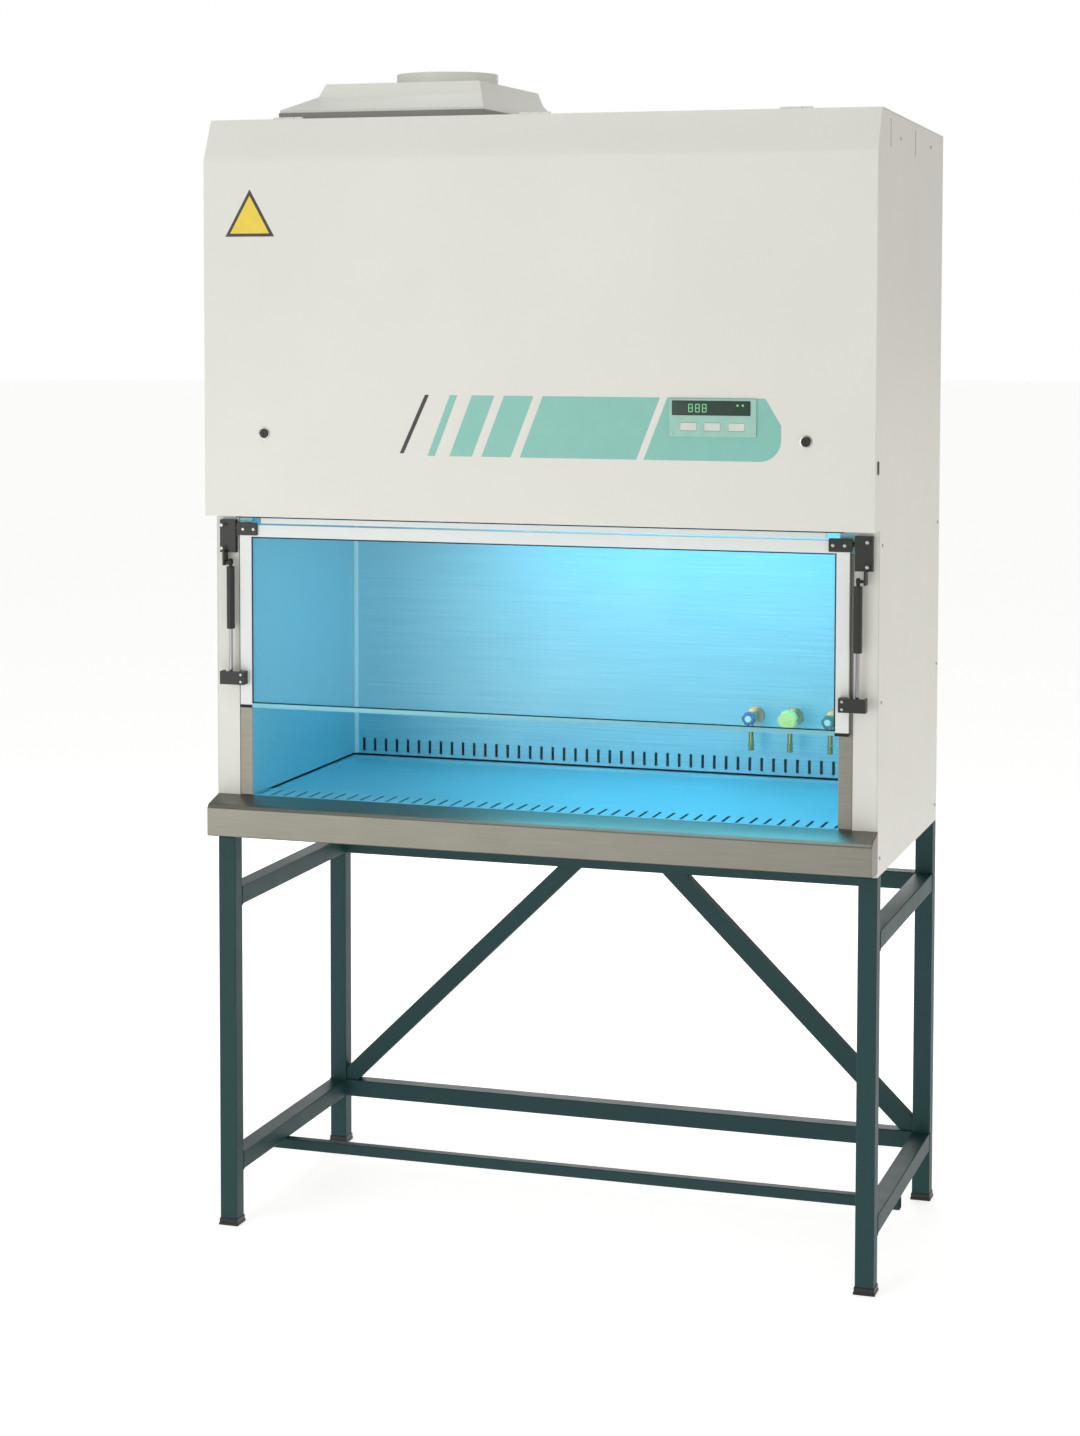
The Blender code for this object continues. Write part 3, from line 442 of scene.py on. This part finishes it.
# Hood --------------------------------------------------------------------------------------------------
GRAPHIC_LOW = HOOD_LOW.z + 0.125
GRAPHIC_HIGH = HOOD_LOW.z + 0.241
LEAN = 0.045  # how far each slanted stripe leans over its height


def slanted(left, right):
    return [
        (left, GRAPHIC_LOW),
        (right, GRAPHIC_LOW),
        (right + LEAN, GRAPHIC_HIGH),
        (left + LEAN, GRAPHIC_HIGH),
    ]


def hood_graphics():
    """Plain slanted stripes and a block round the control panel."""
    stripes = [slanted(-0.199, -0.184), slanted(-0.155, -0.110), slanted(-0.091, -0.033)]
    stripes.append(slanted(-0.015, 0.212))
    radius = 0.040
    left, right = 0.226, 0.486
    middle = (GRAPHIC_LOW + GRAPHIC_HIGH) / 2
    corner = [
        (right - radius + radius * math.cos(a), GRAPHIC_LOW + radius + radius * math.sin(a))
        for a in (math.radians(d) for d in range(-90, 1, 15))
    ]
    block = [(left, GRAPHIC_LOW), *corner, (right, middle + 0.008), (right - 0.030, GRAPHIC_HIGH)]
    block.append((left + LEAN, GRAPHIC_HIGH))
    plates("hood_stripes", [*stripes, block], HOOD_FACE, FILM, MINT, "hood")
    bar = [(-0.255, GRAPHIC_LOW + 0.004), (-0.247, GRAPHIC_LOW + 0.004)]
    bar += [(-0.196, GRAPHIC_HIGH), (-0.204, GRAPHIC_HIGH)]
    plates("hood_bar", [bar], HOOD_FACE, BAR_FILM, SIGN_BLACK, "hood")


def triangle(centre_x, base_z, half, height, inset):
    """An upright triangle, moved in by inset on every side."""
    slope = math.hypot(half, height)
    side = inset * (slope + half) / height
    return [
        (centre_x - half + side, base_z + inset),
        (centre_x + half - side, base_z + inset),
        (centre_x, base_z + height - inset * slope / half),
    ]


def hood_sign():
    """Plain warning-shaped triangle with no symbol."""
    place = (-0.563, HOOD_LOW.z + 0.543, 0.051, 0.091)
    plates("sign_border", [triangle(*place, 0.0)], HOOD_FACE, 0.0003, SIGN_BLACK, "hood")
    face = [triangle(*place, 0.006)]
    plates("sign_face", face, HOOD_FACE - 0.0003, 0.0003, SIGN_YELLOW, "hood")


def display():
    """Window, three lit digits and two indicator lamps on the control panel."""
    face = PANEL_LOW.y
    left, right = PANEL_LOW.x + 0.008, PANEL_HIGH.x - 0.013
    low, high = PANEL_HIGH.z - 0.029, PANEL_HIGH.z - 0.006
    rim = 0.002
    outer = ((left - rim, face - 0.0010, low - rim), (right + rim, face, high + rim))
    blocks("display_rim", [outer], MATERIALS["black_plastic"], "hood", 0.0004)
    window = ((left, face - 0.0014, low), (right, face - 0.0008, high))
    blocks("display_window", [window], DISPLAY, "hood", 0.0002)
    bars = []
    wide, tall, half = 0.007, 0.014, 0.0007
    base = low + 0.0045
    near, far = face - 0.0017, face - 0.0013
    for i in range(3):
        x = left + 0.030 + i * 0.013
        for z in (base, base + tall / 2, base + tall):
            bars.append(((x, near, z - half), (x + wide, far, z + half)))
        for edge in (x, x + wide):
            bars.append(((edge - half, near, base), (edge + half, far, base + tall)))
    blocks("display_digits", bars, DIGIT, "hood")
    bm = bmesh.new()
    dome = [(0, 0), (0.0022, 0), (0.0018, 0.0009), (0, 0.0012)]
    for x in (right - 0.022, right - 0.012):
        add_turned(bm, dome, (x, far, high - 0.006), FORWARD, 14)
    finish_piece("indicator_lamps", bm, DIGIT, "hood")
    corners = [(x, face, PANEL_LOW.z + 0.005) for x in (PANEL_LOW.x + 0.005, PANEL_HIGH.x - 0.005)]
    screws("panel_screws", corners, FORWARD, "hood", 0.0022)


def lock_bezels():
    """Steel rings round the key locks."""
    bm = bmesh.new()
    for name in ("key_lock_left", "key_lock_right"):
        low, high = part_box(name)
        radius = (high.x - low.x) / 2
        centre = ((low.x + high.x) / 2, HOOD_FACE, (low.z + high.z) / 2)
        section = [(0.0004, 0), (0.0030, 0), (0.0026, 0.0016), (0.0004, 0.0020), (0.0004, 0)]
        add_turned(bm, [(radius + out, rise) for out, rise in section], centre, FORWARD, 28)
    finish_piece("lock_bezels", bm, SCREW, "hood")


def hood_seal():
    """Rubber strip along the lower edge of the hood."""
    low = (-0.600, HOOD_LOW.y + 0.010, HOOD_LOW.z - 0.003)
    high = (0.600, HOOD_LOW.y + 0.020, HOOD_LOW.z + 0.001)
    blocks("hood_seal", [(low, high)], GASKET, "hood", 0.0008)


def hood_hinges():
    """Three barrel hinges along the roof edge, with knuckles on each side."""
    joint = next(j for j in frame["joints"] if j["name"] == "hood_hinge")
    y, z = joint["pos_m"][1:]
    for body, offsets in (("cabinet", (-0.030, 0.012)), ("hood", (-0.011,))):
        bm = bmesh.new()
        for centre in HINGE_CENTRES:
            length = 0.018 if body == "cabinet" else 0.022
            for offset in offsets:
                profile = [(0, 0), (0.0038, 0), (0.0038, length), (0, length)]
                add_turned(bm, profile, (centre + offset, y, z), (1, 0, 0), 48)
        finish_piece(f"hinge_knuckles_{body}", bm, MATERIALS["ivory_paint"], body)


# Sash --------------------------------------------------------------------------------------------------
def sash_fittings():
    """Black hinge arms, glass gasket, lower edge trim and its end blocks."""
    front = SASH_LOW.y
    arms = []
    for sign in (-1, 1):
        inner, outer = sorted((sign * 0.567, sign * 0.6110))
        arm_low = (inner, front - 0.0050, SASH_HIGH.z - 0.021)
        arm_high = (outer, front - 0.0003, SASH_HIGH.z + 0.004)
        arms.append((arm_low, arm_high))
    blocks("sash_arms", arms, MATERIALS["black_metal"], "sash", 0.0012)
    points = [(s * x, front - 0.005, SASH_HIGH.z - 0.009) for s in (-1, 1) for x in (0.575, FOOT_SCREW_X)]
    screws("sash_arm_screws", points, FORWARD, "sash", 0.0034)

    low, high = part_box("sash_glass")
    lip = 0.0022
    y0, y1 = low.y - 0.0009, low.y + 0.0002
    strips = [
        ((low.x, y0, high.z - lip), (high.x, y1, high.z)),
        ((low.x, y0, low.z), (high.x, y1, low.z + lip)),
        ((low.x, y0, low.z), (low.x + lip, y1, high.z)),
        ((high.x - lip, y0, low.z), (high.x, y1, high.z)),
    ]
    blocks("glass_gasket", strips, GASKET, "sash")
    left_end = low.x + 0.0002
    edge_low = (left_end, front - 0.0014, SASH_LOW.z - 0.0006)
    edge_high = (-left_end, SASH_HIGH.y + 0.0014, SASH_LOW.z + 0.0086)
    blocks("sash_edge_trim", [(edge_low, edge_high)], EDGE_TRIM, "sash", 0.001)
    ends = []
    for sign in (-1, 1):
        x0, x1 = sorted((sign * (SASH_HIGH.x - 0.026), sign * (SASH_HIGH.x + 0.0005)))
        ends.append(((x0, front - 0.0008, SASH_LOW.z - 0.001), (x1, SASH_HIGH.y, SASH_LOW.z + 0.005)))
    blocks("sash_end_blocks", ends, GASKET, "sash", 0.0006)


def strut_fittings():
    """The seal where each rod leaves its cylinder, and the screws of the brackets and the feet."""
    for side, sign in (("left", -1), ("right", 1)):
        low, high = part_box(f"strut_cylinder_{side}")
        x, y = (low.x + high.x) / 2, (low.y + high.y) / 2
        bm = bmesh.new()
        seal = [(0.0042, 0), (0.0072, 0), (0.0078, 0.002), (0.0078, 0.006), (0.0042, 0.006), (0.0042, 0)]
        add_turned(bm, seal, (x, y, low.z - 0.001), (0, 0, 1), 24)
        finish_piece(f"strut_seal_{side}", bm, GASKET, f"strut_cylinder_{side}")
        ear_low, ear_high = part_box(f"hinge_bracket_{side}")
        rows = [(sign * BRACKET_SCREW_X, ear_low.y, z) for z in (ear_low.z + 0.034, ear_high.z - 0.010)]
        screws(f"bracket_screws_{side}", rows, FORWARD, "cabinet", 0.0036)
        foot_low, foot_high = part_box(f"strut_foot_{side}")
        middle = (foot_low.z + foot_high.z) / 2
        heads = [(sign * FOOT_SCREW_X, foot_low.y, middle + dz) for dz in (-0.007, 0.007)]
        screws(f"foot_screws_{side}", heads, FORWARD, "sash", 0.0028)


# Work chamber ------------------------------------------------------------------------------------------
def lamp_fittings():
    """Lamp holders, the tube's end caps and the perforated diffuser."""
    middle_y = (LAMP_LOW.y + LAMP_HIGH.y) / 2
    holders = []
    for x in (LAMP_LOW.x, LAMP_HIGH.x):
        holder_low = (x - 0.006, middle_y - 0.008, LAMP_LOW.z - 0.003)
        holder_high = (x + 0.006, middle_y + 0.016, LAMP_HIGH.z + 0.010)
        holders.append((holder_low, holder_high))
    blocks("lamp_holders", holders, MATERIALS["white_paint"], "cabinet", 0.002)
    bm = bmesh.new()
    for x in (LAMP_LOW.x, LAMP_HIGH.x - 0.014):
        radius = (LAMP_HIGH.z - LAMP_LOW.z) / 2 + 0.0004
        centre = (x, middle_y, (LAMP_LOW.z + LAMP_HIGH.z) / 2)
        add_turned(bm, [(0, 0), (radius, 0), (radius, 0.014), (0, 0.014)], centre, (1, 0, 0), 24)
    finish_piece("lamp_caps", bm, SCREW, "cabinet")
    low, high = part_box("supply_filter")
    inset = 0.004
    sheet_low = (low.x + inset, low.y + inset, low.z - 0.003)
    sheet_high = (high.x - inset, high.y - inset, low.z - 0.0005)
    blocks("air_diffuser", [(sheet_low, sheet_high)], DIFFUSER, "cabinet", 0.0005)


def chamber_seams():
    """White beads up the rear corners, a painted highlight on the rounded corners, then head seal, jamb trims and
    screws along the back liner.
    """
    beads = []
    for sign in (-1, 1):
        x0, x1 = sorted((sign * 0.5845, sign * 0.5755))
        beads.append(((x0, CHAMBER_BACK - 0.003, CHAMBER_LOW.z), (x1, CHAMBER_BACK + 0.0005, CHAMBER_TOP)))
    # The rear-corner beads are white as a painted highlight: the bright line of light on the rounded rear corners.
    blocks("corner_highlight_beads", beads, MATERIALS["white_paint"], "cabinet", 0.0008)
    head_half = 0.562
    head = ((-head_half, -0.304, 1.4135), (head_half, -0.3005, 1.444))
    blocks("head_seal", [head], MATERIALS["white_paint"], "cabinet", 0.0006)
    jambs = []
    liner_front = CHAMBER_LOW.y
    for sign in (-1, 1):
        x0, x1 = sorted((sign * 0.5855, sign * 0.6112))
        jambs.append(((x0, liner_front - 0.0012, CHAMBER_LOW.z), (x1, liner_front + 0.0005, JAMB_TOP)))
    blocks("jamb_trims", jambs, ARMREST_STEEL, "cabinet", 0.0005)
    points = [(x, CHAMBER_BACK, 1.425) for x in steps(-0.54, 0.54, 7)]
    screws("liner_screws", points, FORWARD, "cabinet", 0.0038)


def tap_details():
    """Hose barbs on the spouts, wall flanges and pale index discs on the knobs."""
    barbs = bmesh.new()
    discs = bmesh.new()
    barb = [(0.005, 0), (0.0066, 0.001), (0.005, 0.006)]
    flange = [(0, 0), (0.019, 0), (0.018, 0.003), (0, 0.003)]
    index_paint = {"centre": MATERIALS["yellow_plastic"]}
    for name in ("left", "centre", "right"):
        low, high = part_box(f"tap_body_{name}")
        x = (low.x + high.x) / 2
        for z in (low.z, low.z + 0.007, low.z + 0.014):
            add_turned(barbs, barb, (x, high.y - 0.043, z), (0, 0, 1), 16)
        knob_low, knob_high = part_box(f"tap_knob_{name}")
        centre = (x, knob_low.y + 0.0001, (knob_low.z + knob_high.z) / 2)
        index = bmesh.new()
        add_turned(index, [(0, 0), (0.0068, 0), (0.0062, 0.0010), (0, 0.0012)], centre, FORWARD, 20)
        paint = index_paint.get(name, MATERIALS["white_paint"])
        finish_piece(f"tap_index_{name}", index, paint, f"tap_knob_{name}")
        add_turned(discs, flange, (x, CHAMBER_BACK, TAP_Z), FORWARD, 28)
    finish_piece("tap_barbs", barbs, MATERIALS["brass"], "cabinet")
    finish_piece("tap_flanges", discs, SCREW, "cabinet")


# Outside of the casing ---------------------------------------------------------------------------------
def casing_screws():
    """Fixings of the back panel, the side panels and the cowl."""
    edges = (BACK_LOW.z + 0.02, BACK_HIGH.z - 0.03)
    rows = [(x, BACK_HIGH.y, z) for x in steps(-EDGE_SCREW_X, EDGE_SCREW_X, 6) for z in edges]
    rows += [(s * EDGE_SCREW_X, BACK_HIGH.y, z) for s in (-1, 1) for z in steps(1.05, 1.95, 4)]
    screws("back_screws", rows, BACKWARD, "cabinet", 0.0048)
    for side, sign in (("left", -1), ("right", 1)):
        low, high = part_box(f"side_panel_{side}")
        x = high.x if sign > 0 else low.x
        points = [(x, y, z) for y in (-0.275, 0.330) for z in steps(0.82, 1.40, 3)]
        points += [(x, y, 2.150) for y in (-0.13, 0.20)]
        screws(f"side_screws_{side}", points, (sign, 0, 0), "cabinet", 0.0040)
    inset = 0.010
    columns = (COWL_LOW.x + inset, COWL_HIGH.x - inset)
    lines = (COWL_LOW.y + inset, COWL_HIGH.y - inset)
    corners = [(x, y, ROOF_Z + 0.024) for x in columns for y in lines]
    screws("cowl_screws", corners, (0, 0, 1), "cabinet", 0.0040)


def cowl_foot_shade_band():
    """Grey strip round the foot of the cowl: the base flange, coloured dark grey as painted shade of the gap under
    the cowl.
    """
    wide = 0.0018
    bottom, top = ROOF_Z - 0.012, ROOF_Z + 0.017
    bands = []
    for x in (COWL_LOW.x, COWL_HIGH.x):
        bands.append(((x - wide, COWL_LOW.y - wide, bottom), (x + wide, COWL_HIGH.y + wide, top)))
    for y in (COWL_LOW.y, COWL_HIGH.y):
        bands.append(((COWL_LOW.x, y - wide, bottom), (COWL_HIGH.x, y + wide, top)))
    blocks("cowl_foot_shade_band", bands, COWL_FOOT_SHADE, "cabinet", 0.0008)


def back_fittings():
    """Blank rating plate, rear cover and the inlet's pins."""
    face = BACK_HIGH.y
    plate = ((0.420, face, 1.900), (0.520, face + 0.0010, 1.960))
    blocks("blank_plate", [plate], SCREW, "cabinet", 0.0003)
    rivets = [(x, face + 0.001, z) for x in (0.426, 0.514) for z in (1.906, 1.954)]
    screws("plate_rivets", rivets, BACKWARD, "cabinet", 0.0020)
    cover = ((-0.300, face, 1.620), (0.300, face + 0.0015, 1.860))
    blocks("rear_cover", [cover], MATERIALS["ivory_paint"], "cabinet", 0.0007)
    points = [(x, face + 0.0015, z) for x in steps(-0.285, 0.285, 4) for z in (1.635, 1.845)]
    screws("rear_cover_screws", points, BACKWARD, "cabinet", 0.0036)
    middle = (INLET_LOW + INLET_HIGH) / 2
    pins = []
    for dx, dz in ((-0.007, -0.003), (0.007, -0.003), (0.0, 0.005)):
        x, z = middle.x + dx, middle.z + dz
        pin_low = (x - 0.001, INLET_LOW.y + 0.0008, z - 0.002)
        pins.append((pin_low, (x + 0.001, INLET_HIGH.y - 0.0003, z + 0.002)))
    blocks("inlet_pins", pins, MATERIALS["brass"], "cabinet")


# Light, floor and camera -------------------------------------------------------------------------------
CAMERA_PLACE = (1.6444, -5.5817, 1.857)
CAMERA_YAW = 0.3276
CAMERA_PITCH = 0.0655
CAMERA_LENS = 73.19
CAMERA_SHIFT = (0.0557, -0.160)


def area(name, place, target, size, power, colour):
    lamp = bpy.data.lights.new(name, "AREA")
    lamp.shape = "RECTANGLE"
    lamp.size, lamp.size_y = size
    lamp.energy = power
    lamp.color = colour
    made = bpy.data.objects.new(name, lamp)
    made.location = place
    aim = Vector(target) - Vector(place)
    made.rotation_euler = aim.to_track_quat("-Z", "Y").to_euler()
    bpy.context.scene.collection.objects.link(made)


def studio():
    world = bpy.data.worlds.new("studio")
    bpy.context.scene.world = world
    world.use_nodes = True
    nodes, links = world.node_tree.nodes, world.node_tree.links
    soft = nodes["Background"]
    soft.inputs["Color"].default_value = (1.0, 0.985, 0.95, 1.0)
    soft.inputs["Strength"].default_value = 0.34
    white = nodes.new("ShaderNodeBackground")
    white.inputs["Color"].default_value = (1.0, 1.0, 1.0, 1.0)
    path = nodes.new("ShaderNodeLightPath")
    mix = nodes.new("ShaderNodeMixShader")
    links.new(path.outputs["Is Camera Ray"], mix.inputs["Fac"])
    links.new(soft.outputs["Background"], mix.inputs[1])
    links.new(white.outputs["Background"], mix.inputs[2])
    links.new(mix.outputs["Shader"], nodes["World Output"].inputs["Surface"])
    area("key", (-2.6, -5.4, 1.7), (0, 0, 1.3), (3.0, 3.0), 62, (1.0, 1.0, 0.98))
    area("fill", (4.2, -1.6, 1.6), (0, 0, 1.2), (2.5, 2.5), 11, (1.0, 0.84, 0.62))
    area("back_fill", (-1.0, 4.8, 2.0), (0, 0, 1.2), (3.0, 3.0), 70, (1.0, 1.0, 1.0))
    area("top", (-0.3, -0.4, 4.9), (-0.3, 0, 2.2), (2.4, 2.4), 40, (1.0, 1.0, 1.0))
    area("chamber", (0.16, 0.04, 1.440), (0.16, 0.14, 0.9), (0.86, 0.34), 7.4, (0.11, 0.60, 0.86))


def floor():
    made = Surface("floor_pale", srgb(244, 244, 243), 0.85)
    made.paint(made.noise(1.5, 4.0), 0.995, 1.0)
    made.gloss(made.noise(8.0), 0.05)
    made.shader.inputs["Emission Color"].default_value = (1.0, 1.0, 1.0, 1.0)
    made.shader.inputs["Emission Strength"].default_value = 0.66
    bm = bmesh.new()
    bmesh.ops.create_circle(bm, cap_ends=True, segments=96, radius=60.0)
    mesh = bpy.data.meshes.new("floor")
    bm.to_mesh(mesh)
    bm.free()
    plane = bpy.data.objects.new("floor", mesh)
    mesh.materials.append(made.material)
    bpy.context.scene.collection.objects.link(plane)


def camera():
    data = bpy.data.cameras.new("camera")
    data.lens = CAMERA_LENS
    data.sensor_width = 36.0
    data.shift_x, data.shift_y = CAMERA_SHIFT
    made = bpy.data.objects.new("camera", data)
    made.location = CAMERA_PLACE
    ahead = Vector((-math.sin(CAMERA_YAW), math.cos(CAMERA_YAW), -math.tan(CAMERA_PITCH)))
    made.rotation_euler = ahead.to_track_quat("-Z", "Y").to_euler()
    bpy.context.scene.collection.objects.link(made)
    bpy.context.scene.camera = made
    bpy.context.scene.view_settings.view_transform = "Standard"


dress_frame()
foot_caps()
weld_beads()
hood_graphics()
hood_sign()
display()
lock_bezels()
hood_seal()
hood_hinges()
sash_fittings()
strut_fittings()
lamp_fittings()
chamber_seams()
tap_details()
casing_screws()
cowl_foot_shade_band()
back_fittings()
floor()
studio()
camera()
